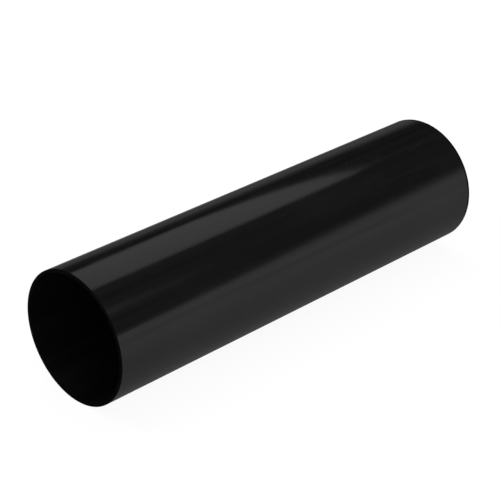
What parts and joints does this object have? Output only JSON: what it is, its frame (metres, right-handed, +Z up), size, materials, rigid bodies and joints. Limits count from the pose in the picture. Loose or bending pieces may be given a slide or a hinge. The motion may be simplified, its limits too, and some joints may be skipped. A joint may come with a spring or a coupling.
{
  "type": "downpipe",
  "caption": "Short length of plain round rainwater downpipe: a thin-walled gloss black plastic tube, open at both square sawn ends, that carries roof water from a gutter outlet.",
  "frame": {"origin": "on the surface that the pipe lies on, directly below the middle of its axis", "axes": "+X along the pipe's axis, +Z up, +Y to the left of someone looking along +X"},
  "size_m": [0.247, 0.068, 0.068],
  "materials": {
    "pipe_plastic": "smooth gloss black as extruded, with dull sawn ends"
  },
  "bodies": {
    "root": {"downpipe": "pipe_plastic"}
  },
  "joints": []
}
